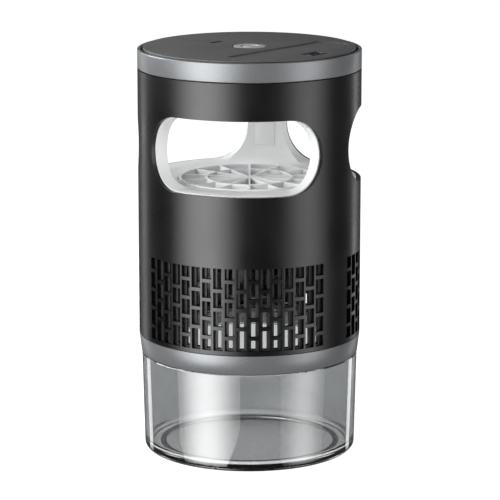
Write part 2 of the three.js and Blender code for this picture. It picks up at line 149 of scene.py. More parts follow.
soft_box("left_box", -46, 1.10, 1.75, 1.6, 54, side_glow=0.12)
soft_box("right_box", 60, 1.10, 1.20, 1.6, 15, side_glow=0.15)
soft_box("left_rim_box", -137, 1.10, 0.20, 1.4, 1.2)
soft_box("right_rim_box", 137, 1.10, 0.20, 1.4, 1.2)
soft_box("plate_box", -110, 0.42, 0.25, 0.25, 2.2, centre_z=0.24)
top_box = soft_box("top_box", 0, 0.001, 3.0, 3.0, 10)
top_box.location = (0, 0, 2.0)
top_box.rotation_euler = (0, 0, 0)

world = bpy.data.worlds.new("studio_sky")
bpy.context.scene.world = world
world.use_nodes = True
sky = world.node_tree
sky.nodes.clear()
sky_out = sky.nodes.new("ShaderNodeOutputWorld")
sky_light = sky.nodes.new("ShaderNodeBackground")
sky_seen = sky.nodes.new("ShaderNodeBackground")
sky_mix = sky.nodes.new("ShaderNodeMixShader")
ray = sky.nodes.new("ShaderNodeLightPath")
sky_light.inputs["Color"].default_value = (0.97, 0.98, 1.0, 1)
sky_light.inputs["Strength"].default_value = 0.10
sky_seen.inputs["Color"].default_value = (1, 1, 1, 1)
sky_seen.inputs["Strength"].default_value = 1.0
sky.links.new(ray.outputs["Is Camera Ray"], sky_mix.inputs[0])
sky.links.new(sky_light.outputs[0], sky_mix.inputs[1])
sky.links.new(sky_seen.outputs[0], sky_mix.inputs[2])
sky.links.new(sky_mix.outputs[0], sky_out.inputs["Surface"])
bpy.context.scene.view_settings.view_transform = "Standard"

deselect()
bpy.ops.mesh.primitive_plane_add(size=6.0, location=(0, 0, -0.0002))
floor = bpy.context.object
floor.name = "studio_floor"
floor.visible_glossy = False

# %% [markdown]
# ## Tools for finishes
# A colour is written as the hex value that a colour picker shows, and one function turns it to the
# linear values that shaders work in. Another adds a node with its settings and links, so a material
# reads as a short list of steps.

# %% Finish tools
def colour(hex_value):
    """sRGB hex to linear RGBA."""
    channels = [int(hex_value[i:i + 2], 16) / 255 for i in (1, 3, 5)]
    return tuple(c / 12.92 if c <= 0.04045 else ((c + 0.055) / 1.055) ** 2.4 for c in channels) + (1,)


def add_node(tree, kind, links=(), **settings):
    """A shader node. Settings name its properties or input sockets, links feed its sockets."""
    made = tree.nodes.new(kind)
    for key, value in settings.items():
        label = key.replace("_", " ")
        if hasattr(made, key):
            setattr(made, key, value)
        else:
            made.inputs[label.title() if label.title() in made.inputs else label].default_value = value
    for socket, source in links:
        tree.links.new(source, made.inputs[socket])
    return made


def finish_of(name, base, roughness, metallic=0.0, **more):
    """A material with its Principled shader, and object coordinates in metres."""
    material = bpy.data.materials.new(name)
    material.use_nodes = True
    tree = material.node_tree
    tree.nodes.clear()
    shader = tree.nodes.new("ShaderNodeBsdfPrincipled")
    shader.inputs["Base Color"].default_value = colour(base)
    shader.inputs["Roughness"].default_value = roughness
    shader.inputs["Metallic"].default_value = metallic
    for key, value in more.items():
        shader.inputs[key.replace("_", " ")].default_value = value
    out = tree.nodes.new("ShaderNodeOutputMaterial")
    tree.links.new(shader.outputs[0], out.inputs["Surface"])
    where = tree.nodes.new("ShaderNodeTexCoord").outputs["Object"]
    material.diffuse_color = colour(base)
    return material, tree, shader, where


def grain(tree, where, size_mm, detail=2.0, stretch=(1, 1, 1)):
    """Noise whose features are about size_mm across."""
    place = add_node(tree, "ShaderNodeMapping", [("Vector", where)], Scale=stretch)
    return add_node(tree, "ShaderNodeTexNoise", [("Vector", place.outputs[0])],
                    Scale=1 / (size_mm * MM), Detail=detail).outputs["Fac"]


def ranged(tree, value, low, high, to_low=0.0, to_high=1.0):
    """Turns a value that runs from low to high into one that runs from to_low to to_high."""
    span = add_node(tree, "ShaderNodeMapRange", [("Value", value)])
    for label, number in (("From Min", low), ("From Max", high), ("To Min", to_low), ("To Max", to_high)):
        span.inputs[label].default_value = number
    return span.outputs[0]


def by_height(tree, low, high, to_high=1.0):
    """Nothing below the height low, and to_high above the height high."""
    where = tree.nodes["Texture Coordinate"].outputs["Object"]
    height = add_node(tree, "ShaderNodeSeparateXYZ", [("Vector", where)]).outputs["Z"]
    return ranged(tree, height, low, high, to_high=to_high)


def vary(tree, shader, fac, socket, low, high, spread=(0.3, 0.7)):
    """Lets a noise move one number of the shader between low and high."""
    tree.links.new(ranged(tree, fac, *spread, low, high), shader.inputs[socket])


def tint(tree, shader, fac, dark, light, spread=(0.3, 0.7)):
    """Lets a noise move the colour between two hex values."""
    ramp = add_node(tree, "ShaderNodeValToRGB", [("Fac", fac)])
    ramp.color_ramp.elements[0].position, ramp.color_ramp.elements[1].position = spread
    ramp.color_ramp.elements[0].color = colour(dark)
    ramp.color_ramp.elements[1].color = colour(light)
    tree.links.new(ramp.outputs[0], shader.inputs["Base Color"])


def dent(tree, shader, height, depth_mm, strength=1.0):
    """Bump from a height pattern, its depth in millimetres."""
    bump = add_node(tree, "ShaderNodeBump", [("Height", height)], Strength=strength, Distance=depth_mm * MM)
    tree.links.new(bump.outputs[0], shader.inputs["Normal"])


print("finish tools ready")

# %% [markdown]
# ## Plastics
# Moulded ABS takes its surface from the tool. A spark-eroded tool leaves a fine even grain that
# spreads highlights, and a polished one leaves a soft gloss. The real grain is about 0.1 mm, too fine
# to show at this distance, so it is drawn at 0.4 mm and kept shallow. Plastic has an IOR near 1.53. The
# socket and the sensor window are given a far lower one than the real 1.5, so that they mirror almost
# nothing and stay black.

# %% Plastic finishes
def moulded(name, dark, light, roughness, grain_mm=0.4, depth_mm=0.006, ior=1.53, **more):
    material, tree, shader, where = finish_of(name, light, roughness, IOR=ior, **more)
    cloud = grain(tree, where, 22, detail=3)
    fine = grain(tree, where, grain_mm, detail=1)
    tint(tree, shader, cloud, dark, light)
    vary(tree, shader, cloud, "Roughness", roughness - 0.04, roughness + 0.04)
    dent(tree, shader, fine, depth_mm, strength=0.5)
    return material


satin_black = moulded("satin_black_abs", "#050505", "#070708", 0.29)
matt_black = moulded("matt_black_abs", "#2c2c2d", "#363637", 0.38)
fan_black = moulded("semi_gloss_black_fan_plastic", "#1a1b1c", "#222324", 0.28)
satin_white = moulded("satin_white_abs", "#d4d5d5", "#dadbdb", 0.38)
# The grille is a lighter copy of the housing's satin white: painted light, so that it reads brighter than the
# deck.
grille_white = moulded("satin_white_grille_abs", "#e0e1e1", "#e6e7e7", 0.38)
matt_grey = moulded("textured_grey_top_plastic", "#434344", "#4a4a4b", 0.52, grain_mm=0.5, depth_mm=0.012)
socket_black = moulded("matt_black_socket_plastic", "#020202", "#030303", 0.8, ior=1.08)
gloss_black = moulded("black_window_acrylic", "#020202", "#030303", 0.6, depth_mm=0.001, ior=1.08)
print("plastics:", sum("abs" in m.name or "plastic" in m.name for m in bpy.data.materials))

# %% [markdown]
# The top plate and its handle are grey on their upper face, and below it their sides carry painted
# shade: near black, so the narrow gaps around the handle and the socket look dark. The height on
# the piece tells the two apart, with a short fade at the edge of the painted shade.

# %% Grey upper face over painted gap shade
tree = matt_grey.node_tree
shader = tree.nodes["Principled BSDF"]
unshaded = by_height(tree, TOP - 0.50 * MM, TOP - 0.42 * MM)
grey_texture = shader.inputs["Base Color"].links[0].from_socket
gap_shade_mix = add_node(tree, "ShaderNodeMix", data_type="RGBA")
factor, painted_gap_shade, grey_input = (gap_shade_mix.inputs[i] for i in (0, 6, 7))    # the node's colour sockets
# Painted shade: everything below the grey upper face is coloured near black, so the gaps read dark.
painted_gap_shade.default_value = colour("#060606")
tree.links.new(unshaded, factor)
tree.links.new(grey_texture, grey_input)
tree.links.new(gap_shade_mix.outputs[2], shader.inputs["Base Color"])
print("sprayed face starts", round((TOP - 0.42 * MM) / MM, 2), "mm up")

# %% [markdown]
# ## Smoke-clear polycarbonate
# The cup is injection-moulded polycarbonate with a smoke tint, polished inside and out. It bends
# light like thick glass, so the wall's edges draw dark and bright upright lines. A faint haze in the
# roughness stands for handling marks. The real moulding is alike all over. Here its floor is given
# less tint than its wall and no gloss coat, so that the black ring below shows through; the lighter
# floor tint is painted light that lifts the shade under the cup. Rubber is dusty and dull, and its
# IOR is set below the real 1.5, so that it stays black.

# %% Clear and rubber finishes
smoke_clear, tree, shader, where = finish_of(
    "smoke_clear_polycarbonate", "#b0b2b3", 0.03, IOR=1.585, Transmission_Weight=1.0,
    Coat_Weight=1.0, Coat_IOR=1.6, Coat_Roughness=0.02)
vary(tree, shader, grain(tree, where, 9, detail=4), "Roughness", 0.01, 0.04)
wall = by_height(tree, 3.55 * MM, 4.2 * MM)
# Painted light: the floor below the wall gets an almost clear tint, which lifts the shade under the cup.
tint(tree, shader, wall, "#fafafa", "#b0b2b3", spread=(0.0, 1.0))
tree.links.new(wall, shader.inputs["Coat Weight"])

violet_lens, tree, shader, where = finish_of(
    "frosted_violet_diffuser", "#cfc6ea", 0.45, IOR=1.49, Transmission_Weight=0.6)
vary(tree, shader, grain(tree, where, 0.6), "Roughness", 0.38, 0.52)


def rubber(name, dark, light, roughness):
    material, tree, shader, where = finish_of(name, light, roughness, IOR=1.2)
    tint(tree, shader, grain(tree, where, 3), dark, light)
    dent(tree, shader, grain(tree, where, 0.5), 0.02, strength=0.6)
    return material


foot_rubber = rubber("matt_black_foot_rubber", "#020202", "#050505", 0.8)
seal_rubber = rubber("black_silicone", "#151515", "#1e1e1e", 0.6)
cable_rubber = rubber("black_cable_jacket", "#101010", "#181818", 0.5)
print("clear and rubber finishes made")

# %% [markdown]
# ## Metals and silver lacquer
# The rings are plastic with a silver lacquer. Its aluminium flakes lie a little unevenly, which
# gives a soft sparkle and a broad highlight. The button is turned aluminium: the tool leaves rings
# about its centre, really 0.05 mm apart and drawn at 0.63 mm so that they show. At scale 1 the ring
# texture repeats every 0.314 m.

# %% Metal finishes
silver_lacquer, tree, shader, where = finish_of("silver_flake_lacquer", "#77797b", 0.33, metallic=0.55)
flakes = add_node(tree, "ShaderNodeTexVoronoi", [("Vector", where)], Scale=1 / (0.5 * MM)).outputs["Color"]
flake_value = add_node(tree, "ShaderNodeSeparateColor", [("Color", flakes)]).outputs[0]
tint(tree, shader, flake_value, "#737577", "#797b7d", spread=(0.0, 1.0))
vary(tree, shader, flake_value, "Roughness", 0.32, 0.35, spread=(0.0, 1.0))

turned_aluminium, tree, shader, where = finish_of("turned_aluminium", "#aeb1b4", 0.42, metallic=0.45)
rings = add_node(tree, "ShaderNodeTexWave", [("Vector", where)], wave_type="RINGS", rings_direction="Z",
                 Scale=0.314 / (0.628 * MM), Distortion=0.0).outputs["Fac"]
# Painted shade: the metal below the top face, in the groove and on the rim, is coloured near black.
above_groove_shade = by_height(tree, TOP - 0.3 * MM, TOP - 0.1 * MM, to_high=0.9)
rings_and_groove_shade = add_node(tree, "ShaderNodeMath", [(0, rings), (2, above_groove_shade)], operation="MULTIPLY_ADD")
rings_and_groove_shade.inputs[1].default_value = 0.1
tint(tree, shader, rings_and_groove_shade.outputs[0], "#101011", "#b2b4b6", spread=(0.0, 1.0))
dent(tree, shader, rings, 0.006, strength=0.5)


def steel(name, dark, light, roughness, stretch):
    material, tree, shader, where = finish_of(name, light, roughness, metallic=1.0)
    lines = grain(tree, where, 0.6, detail=3, stretch=stretch)
    tint(tree, shader, lines, dark, light)
    vary(tree, shader, lines, "Roughness", roughness - 0.06, roughness + 0.08)
    return material


rolled_steel = steel("rolled_motor_steel", "#9b9ea1", "#b1b4b6", 0.32, (1, 1, 0.05))
zinc_plate = steel("bright_zinc_plating", "#b3b6ba", "#c8cbce", 0.24, (1, 1, 1))
print("metals made")

# %% [markdown]
# ## Electrical finishes
# Solder mask is a thin coloured lacquer over copper tracks, which show as slightly lighter lines.
# The cell is wrapped in shrink film, and a lamp's body is a pale moulding over its phosphor.

# %% Electrical finishes
def solder_mask(name, mask, track):
    material, tree, shader, where = finish_of(name, mask, 0.35, Coat_Weight=0.4)
    tracks = add_node(tree, "ShaderNodeTexBrick", [("Vector", where)], Scale=1.0, Color1=colour(mask),
                      Color2=colour(mask), Mortar=colour(track))
    for label, value in (("Brick Width", 4.0 * MM), ("Row Height", 1.2 * MM), ("Mortar Size", 0.12 * MM)):
        tracks.inputs[label].default_value = value
    tree.links.new(tracks.outputs["Color"], shader.inputs["Base Color"])
    return material


green_mask = solder_mask("green_solder_mask", "#1c5638", "#2f7a50")
white_mask = solder_mask("white_solder_mask", "#e2e4e6", "#cfd2d4")
blue_wrap = moulded("blue_shrink_wrap", "#2d5687", "#386aa3", 0.32, grain_mm=2.0, depth_mm=0.05)
lamp_body = moulded("pale_lamp_moulding", "#ddd6b6", "#ebe5c9", 0.28)
floor_paint = moulded("pale_studio_floor", "#8c8c8c", "#909090", 0.7, Emission_Color=(1, 1, 1, 1),
                      Emission_Strength=0.95)
floor.data.materials.append(floor_paint)
print("finishes in all:", len(bpy.data.materials))

# %% [markdown]
# ## Tools for shapes
# Most of the body is turned. Its half section is walked with extrude, a vertex at a time, and spun
# once about the axis, as a potter's template would do. Other pieces start as cubes or cylinders that
# cut or join through a Boolean modifier, and small bevels catch the light on their edges.

# %% Shape tools
SMOOTH_BELOW = 32                        # edges flatter than this many degrees are shaded smooth


def arc_points(centre_r, centre_z, radius, start, end, steps):
    turns = [start + (end - start) * i / steps for i in range(steps + 1)]
    return [(centre_r + radius * math.cos(t * DEG), centre_z + radius * math.sin(t * DEG)) for t in turns]


def merge_and_face_out():
    bpy.ops.mesh.select_all(action="SELECT")
    bpy.ops.mesh.remove_doubles(threshold=1e-6)
    bpy.ops.mesh.normals_make_consistent(inside=False)
    bpy.ops.object.mode_set(mode="OBJECT")


def spun(name, profile, steps=FULL_TURN):
    """Walks a half section of (radius, height) points in metres and spins it about the Z axis."""
    deselect()
    bpy.ops.mesh.primitive_plane_add(size=MM)
    piece = bpy.context.object
    piece.name = name
    bpy.ops.object.mode_set(mode="EDIT")
    bpy.ops.mesh.select_mode(type="VERT")
    bpy.ops.mesh.merge(type="CENTER")
    bpy.ops.transform.translate(value=(profile[0][0], 0, profile[0][1]))
    for (r0, z0), (r1, z1) in zip(profile, profile[1:]):
        bpy.ops.mesh.extrude_vertices_move(TRANSFORM_OT_translate={"value": (r1 - r0, 0, z1 - z0)})
    bpy.ops.mesh.select_all(action="SELECT")
    bpy.ops.mesh.spin(steps=steps, angle=2 * math.pi, center=(0, 0, 0), axis=(0, 0, 1))
    merge_and_face_out()
    return piece


def closed(profile):
    return profile + profile[:1]


def pick(piece):
    """Selects one piece alone and makes it the active one."""
    deselect()
    piece.select_set(True)
    bpy.context.view_layer.objects.active = piece


def use_modifier(piece, kind, **settings):
    modifier = piece.modifiers.new(kind.lower(), kind)
    for key, value in settings.items():
        setattr(modifier, key, value)
    pick(piece)
    bpy.ops.object.modifier_apply(modifier=modifier.name)


def cut_with(piece, *cutters, operation="DIFFERENCE"):
    for cutter in cutters:
        use_modifier(piece, "BOOLEAN", object=cutter, operation=operation, solver="EXACT")
        bpy.data.objects.remove(cutter)


def bevelled(piece, width_mm, segments=2, angle=35):
    use_modifier(piece, "BEVEL", width=width_mm * MM, segments=segments, limit_method="ANGLE",
                 angle_limit=angle * DEG, use_clamp_overlap=True)


def settle(piece, body, slot, material, *nodes):
    """Smooths a finished piece, gives it its finish, and hands it to its body."""
    pick(piece)
    bpy.ops.object.shade_smooth_by_angle(angle=SMOOTH_BELOW * DEG)
    piece.data.materials.clear()
    piece.data.materials.append(material)
    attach(piece, body)
    if nodes:
        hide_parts(*nodes)
    print(f"{piece.name}: {len(piece.data.polygons)} faces")


def rod(name, radius, low, high, x=0.0, y=0.0, sides=48):
    deselect()
    bpy.ops.mesh.primitive_cylinder_add(
        vertices=sides, radius=radius, depth=high - low, location=(x, y, (low + high) / 2))
    made = bpy.context.object
    made.name = name
    bpy.ops.object.transform_apply(location=True, rotation=True, scale=True)
    return made


def bar(name, size, centre, turn_deg=0.0):
    """A block of a size, centred at a place, then turned about the Z axis."""
    deselect()
    bpy.ops.mesh.primitive_cube_add(size=1, location=centre, scale=size)
    made = bpy.context.object
    made.name = name
    bpy.ops.object.transform_apply(location=True, rotation=True, scale=True)
    made.data.transform(Matrix.Rotation(turn_deg * DEG, 4, "Z"))
    return made


def blocks(name, radius, deep, wide, spans):
    """One mesh of upright blocks about the axis. A span is a turn in degrees, a low and a high end."""
    made = bar(name, (MM, MM, MM), (0, 0, 0))
    bpy.ops.object.mode_set(mode="EDIT")
    bpy.ops.mesh.delete(type="VERT")
    for turn_deg, low, high in spans:
        turn = turn_deg * DEG
        bpy.ops.mesh.primitive_cube_add(
            size=1, location=(radius * math.cos(turn), radius * math.sin(turn), (low + high) / 2),
            rotation=(0, 0, turn), scale=(deep, wide, high - low))
    bpy.ops.object.mode_set(mode="OBJECT")
    return made


def joined(name, parts):
    deselect()
    for part in parts:
        part.select_set(True)
    bpy.context.view_layer.objects.active = parts[0]
    bpy.ops.object.join()
    parts[0].name = name
    return parts[0]


print("shape tools ready")

# %% [markdown]
# ## Catch cup
# The cup is one clear moulding: a thick wall with a rounded foot, a flat floor with a groove below
# for the rubber ring, and a thin neck that goes up into the collar. Real wall thickness matters here,
# because the bright and dark edge lines come from light bending in it.

# %% Catch cup
CUP_TOP = 49.0 * MM
cup_profile = [(0, 0.5 * MM), (41.5 * MM, 0.5 * MM), (41.5 * MM, 2.2 * MM), (44.4 * MM, 2.2 * MM),
               (44.4 * MM, 0.5 * MM)]
cup_profile += arc_points(49.5 * MM, 3.0 * MM, 2.5 * MM, -90, 0, 8)
cup_profile += [(53.1 * MM, CUP_TOP - 0.4 * MM), (52.7 * MM, CUP_TOP), (51.9 * MM, CUP_TOP),
                (51.9 * MM, 55.7 * MM), (51.6 * MM, 56.0 * MM), (50.5 * MM, 56.0 * MM),
                (50.2 * MM, 55.7 * MM)]
cup_profile += arc_points(46.5 * MM, 7.1 * MM, 3.5 * MM, 0, -90, 8)
cup_profile += [(0, 3.6 * MM)]
cup = spun("clear_cup", cup_profile)
settle(cup, "cup", "smoke_clear_plastic", smoke_clear, "catch_cup")

# %% [markdown]
# ## Foot ring and seal
# A soft black ring is pressed into the groove under the cup and carries the whole trap. Seen from
# above through the clear floor it draws the dark oval. A thin silicone ring lies on the neck.

# %% Foot ring and seal
foot_low, foot_high = heights("foot_ring")
foot = spun("rubber_foot_ring", closed([
    (41.9 * MM, foot_low), (44.0 * MM, foot_low), (44.3 * MM, foot_low + 0.3 * MM),
    (44.3 * MM, foot_high + 0.2 * MM), (41.6 * MM, foot_high + 0.2 * MM), (41.6 * MM, foot_low + 0.3 * MM)]))
settle(foot, "cup", "foot_rubber", foot_rubber, "foot_ring")
seal_low, seal_high = heights("cup_seal")
seal_mid = (seal_low + seal_high) / 2
seal_ring = spun("neck_seal_ring", closed([
    (50.4 * MM, seal_low + 0.2 * MM), (50.6 * MM, seal_low), (51.5 * MM, seal_low),
    (51.7 * MM, seal_low + 0.2 * MM), (51.7 * MM, seal_mid), (51.5 * MM, seal_high),
    (50.6 * MM, seal_high), (50.4 * MM, seal_mid)]), steps=144)
settle(seal_ring, "cup", "seal_rubber", seal_rubber, "cup_seal")

# %% [markdown]
# ## Silver collar and silver top ring
# Both are turned sections with soft edges. The collar tapers in a little towards the cup and has an
# inner flange that stops on the neck. The top ring ends in a thin rounded lip around the top plate.

# %% Silver rings
collar = spun("silver_collar", closed([
    (53.3 * MM, COLLAR_LOW), (R, COLLAR_HIGH), (45.5 * MM, COLLAR_HIGH), (45.5 * MM, 57.6 * MM),
    (52.2 * MM, 57.6 * MM), (52.2 * MM, COLLAR_LOW)]))
bevelled(collar, 0.25)
settle(collar, "head", "silver_lacquer", silver_lacquer, "collar_ring")

LIP_R = 52.6 * MM
top_ring = spun("silver_top_ring", closed([
    (R, RING_LOW), (R, RING_HIGH), (LIP_R, RING_HIGH), (LIP_R, RING_LOW + 2 * MM),
    (47.0 * MM, RING_LOW + 2 * MM), (47.0 * MM, RING_LOW)]))
bevelled(top_ring, 0.45, segments=3)
settle(top_ring, "head", "silver_lacquer", silver_lacquer, "top_ring")

# %% [markdown]
# ## Window cutter
# A window is a round-ended opening wrapped about the body, with its sides pointing to the axis. A
# box as long as the window's arc gets its four upright edges rounded, is sliced every two degrees so
# that it can curve, and is then wrapped: a length along X becomes an angle, and Y becomes a radius.

# %% Window cutter
def window_cutter(low, high, half_deg, inner, outer, centre_deg):
    arc_half = half_deg * DEG * R
    end_radius = (high - low) / 2
    cutter = bar("window_cutter", (2 * arc_half, outer - inner, high - low),
                 (0, (outer + inner) / 2, (low + high) / 2))
    bpy.ops.object.mode_set(mode="EDIT")
    bpy.ops.mesh.select_mode(type="EDGE")
    bpy.ops.mesh.select_all(action="DESELECT")
    bpy.ops.object.mode_set(mode="OBJECT")
    for edge in cutter.data.edges:
        a, b = (cutter.data.vertices[i].co for i in edge.vertices)
        edge.select = abs(a.y - b.y) > (outer - inner) / 2
    bpy.ops.object.mode_set(mode="EDIT")
    bpy.ops.mesh.bevel(offset=end_radius * 0.999, segments=14, affect="EDGES", clamp_overlap=False)
    bpy.ops.mesh.select_mode(type="VERT")
    slices = int(half_deg)
    for i in range(-slices + 1, slices):
        bpy.ops.mesh.select_all(action="SELECT")
        bpy.ops.mesh.bisect(plane_co=(i * arc_half / slices, 0, 0), plane_no=(1, 0, 0))
    merge_and_face_out()
    for vertex in cutter.data.vertices:
        angle = centre_deg * DEG - vertex.co.x / R
        vertex.co = (vertex.co.y * math.cos(angle), vertex.co.y * math.sin(angle), vertex.co.z)
    return cutter


WINDOW_LOW, WINDOW_HIGH, WINDOW_HALF = 135.5 * MM, 171.8 * MM, 49.5
print("window arc", round(2 * WINDOW_HALF * DEG * R / MM, 1), "mm")

# %% [markdown]
# ## Outer shell
# The shell is a thin tube, cut by three windows and three brick-pattern vent panels. Each panel has
# seventeen upright slots, six degrees apart, with cross bars that stagger from slot to slot. All the
# small cutters are blocks in one mesh, so one Boolean opens every vent.

# %% Outer shell
VENT_LOW, VENT_HIGH = 61.0 * MM, 101.2 * MM
VENT_PITCH, VENT_COLUMNS, VENT_WIDTH = 6, 17, 4.75 * MM
BAR_HIGH, BAR_RISE = 1.65 * MM, 9.17 * MM
shell = spun("black_outer_shell", closed([
    (R, SHELL_LOW), (R, SHELL_HIGH), (R - WALL, SHELL_HIGH), (R - WALL, SHELL_LOW)]), steps=360)
for side in SIDES:
    cut_with(shell, window_cutter(WINDOW_LOW, WINDOW_HIGH, WINDOW_HALF, 46 * MM, 60 * MM, side))

COLUMNS = [(side + (i - (VENT_COLUMNS - 1) / 2) * VENT_PITCH, i)
           for side in SIDES for i in range(VENT_COLUMNS)]
vent_middle = (VENT_LOW + VENT_HIGH) / 2


def brick_spans(turn_deg, column):
    """The openings of one column, between its three or four cross bars."""
    edges = [VENT_LOW]
    for step in (-1.5, -0.5, 0.5, 1.5) if column % 2 == 0 else (-1, 0, 1):
        middle = vent_middle + step * BAR_RISE
        edges += [middle - BAR_HIGH / 2, middle + BAR_HIGH / 2]
    edges.append(VENT_HIGH)
    return [(turn_deg, low, high) for low, high in zip(edges[::2], edges[1::2])]


vents = blocks("vent_cutters", R, 8 * MM, VENT_WIDTH,
               [span for turn_deg, column in COLUMNS for span in brick_spans(turn_deg, column)])
print("vent cutters:", len(vents.data.polygons) // 6)
cut_with(shell, vents)
settle(shell, "head", "black_plastic", satin_black, "outer_shell")

# %% [markdown]
# ## Vent cage
# Behind the shell stands a thin cage with one tall slit behind each column of vents. It stiffens the
# shell, and its ribs catch the side light, so the vents show bright lines before a dark inside.

# %% Vent cage
cage_low, cage_high = heights("vent_cage")
SLIT_WIDTH = 2.0 * MM
cage = spun("black_vent_cage", closed([
    (CORE_R, cage_low), (CORE_R, cage_high), (CORE_R - 1.5 * MM, cage_high),
    (CORE_R - 1.5 * MM, cage_low + 1.5 * MM), (45.5 * MM, cage_low + 1.5 * MM), (45.5 * MM, cage_low)]))
cut_with(cage, blocks("slit_cutters", 51.4 * MM, 6 * MM, SLIT_WIDTH, [
    (turn_deg, VENT_LOW + MM / 2, VENT_HIGH - MM / 2) for turn_deg, column in COLUMNS]))
HOLE_FAR = 47.9 * MM                     # distance of the collar screws from the axis
for side in PILLARS:
    cut_with(cage, rod("screw_hole", 1.3 * MM, 58 * MM, 62 * MM, HOLE_FAR * math.cos(side * DEG),
                       HOLE_FAR * math.sin(side * DEG), sides=24))
settle(cage, "head", "dark_plastic", matt_black, "vent_cage")

# %% [markdown]
# ## White inner housing
# One white moulding makes the window reveals, the pillars with their flared feet, the deck around
# the grille and the duct below. The flare is a quarter circle in the turned section. The windows are
# cut a little smaller than the shell's, so a dark line runs around them.

# %% White inner housing
housing_high = heights("inner_housing")[1]
duct_low = heights("motor_bracket")[1] + 0.3 * MM
housing_skirt = cage_high + 0.3 * MM
flare = 6.6 * MM
section = [(CORE_R, housing_skirt), (CORE_R, housing_high), (CHAMBER_R, housing_high)]
section += arc_points(CHAMBER_R - flare, DECK + flare, flare, 0, -90, 12)
section += [(35.4 * MM, DECK), (35.0 * MM, DECK - 0.4 * MM), (35.0 * MM, 131.2 * MM),
            (33.4 * MM, 131.2 * MM), (33.4 * MM, 130 * MM), (38.8 * MM, 116 * MM), (38.8 * MM, duct_low),
            (42.5 * MM, duct_low), (42.5 * MM, 113.4 * MM), (40.6 * MM, 113.4 * MM),
            (40.6 * MM, 116.5 * MM), (36.6 * MM, 132.6 * MM), (CORE_R - 2 * MM, 132.6 * MM),
            (CORE_R - 2 * MM, housing_skirt)]
housing = spun("white_inner_housing", closed(section))
for side in SIDES:
    cut_with(housing, window_cutter(
        WINDOW_LOW + 0.35 * MM, WINDOW_HIGH - 0.4 * MM, WINDOW_HALF - 0.55, 36 * MM, 60 * MM, side))
CABLE_DEG = 30
cut_with(housing,
         bar("channel", (2.6 * MM, 6 * MM, 46 * MM), (CHAMBER_R + 1.9 * MM, 0, 153.5 * MM), CABLE_DEG),
         bar("cover_seat", (2.4 * MM, 9.86 * MM, 34 * MM), (CHAMBER_R - 0.3 * MM, 0, 160.26 * MM), CABLE_DEG),
         bar("cable_exit", (8 * MM, 3.6 * MM, 3.6 * MM), (39.5 * MM, 0, 115.5 * MM), CABLE_DEG))
settle(housing, "head", "white_plastic", satin_white, "inner_housing")

cover = bar("pillar_cable_cover", (1.3 * MM, 9.8 * MM, 31.9 * MM),
            (CHAMBER_R - 0.15 * MM, 0, 159.25 * MM), CABLE_DEG)
bevelled(cover, 0.5, segments=4)
settle(cover, "head", "white_plastic", satin_white, "cable_cover")

# %% [markdown]
# ## Intake grille
# The grille keeps fingers out of the fan. Fourteen thin upright vanes run from a small hub to the rim,
# and a ring ties them halfway. The pieces are joined by a Boolean union, so the result is one
# moulding with no hidden walls inside.

# %% Intake grille
grille_low, grille_high = heights("intake_grille")
VANES, VANE_WIDE = 14, 0.95 * MM
grille = spun("white_intake_grille", closed([
    (34.6 * MM, grille_low), (34.6 * MM, grille_high), (33.4 * MM, grille_high), (33.4 * MM, grille_low)]),
    steps=180)
middle_ring = spun("middle_ring", closed([
    (21.5 * MM, grille_low), (21.5 * MM, grille_high), (20.3 * MM, grille_high), (20.3 * MM, grille_low)]),
    steps=120)
vane_high = grille_high - grille_low - 0.2 * MM
for i in range(VANES // 2):
    vane = bar("vane", (2 * 34.0 * MM, VANE_WIDE, vane_high), (0, 0, (grille_low + grille_high) / 2),
               CAMERA_DEG + i * 360 / VANES)
    cut_with(grille, vane, operation="UNION")
cut_with(grille, middle_ring, rod("hub", 2.3 * MM, grille_low, grille_high), operation="UNION")
bevelled(grille, 0.12, segments=1)
settle(grille, "head", "grille_plastic", grille_white, "intake_grille")

# %% [markdown]
# ## Fan rotor
# The rotor is a cup-shaped hub with seven swept blades. A blade starts as a flat sheet, cut into a
# grid, and each of its points is turned about the hub by a pitch that flattens towards the tip, as on
# a real blade. Solidify then gives the sheet its thickness.

# %% Fan rotor
HUB_R, TIP_R, BLADES = 14 * MM, 37.9 * MM, 7
hub_low, hub_high = heights("fan_rotor")
rotor = spun("fan_hub", [
    (0, hub_low), (HUB_R - 2 * MM, hub_low), (HUB_R - 0.6 * MM, hub_low + 0.6 * MM),
    (HUB_R, hub_low + 2 * MM), (HUB_R, hub_high), (HUB_R - 2 * MM, hub_high), (HUB_R - 2 * MM, 84 * MM),
    (1.3 * MM, 84 * MM), (1.3 * MM, hub_low + 5.7 * MM), (0, hub_low + 5.7 * MM)], steps=96)


def blade(index):
    deselect()
    bpy.ops.mesh.primitive_grid_add(x_subdivisions=10, y_subdivisions=8, size=2)
    sheet = bpy.context.object
    for vertex in sheet.data.vertices:
        along = (vertex.co.x + 1) / 2
        chord = vertex.co.y
        r = HUB_R - MM + (TIP_R - HUB_R + MM) * along
        pitch = (52 - 20 * along) * DEG
        half = (8.2 + 6.0 * along) * MM
        sweep = (chord * half * math.cos(pitch) + 2.5 * MM * chord * chord) / r + 0.25 * along
        angle = sweep + index * 2 * math.pi / BLADES
        lift = chord * half * math.sin(pitch)
        vertex.co = (r * math.cos(angle), r * math.sin(angle), 86 * MM + lift)
    use_modifier(sheet, "SOLIDIFY", thickness=1.3 * MM, offset=0.0)
    return sheet


rotor = joined("fan_rotor_blades", [rotor] + [blade(i) for i in range(BLADES)])
settle(rotor, "fan", "fan_plastic", fan_black, "fan_rotor")

# %% [markdown]
# ## Top plate
# The plate is a thick disc with a skirt. The handle's recess, the button's hole, the socket's hole and
# the slot of the sensor window are cut into it. The handle lies flush, so all that shows of it is the
# narrow gap around it.

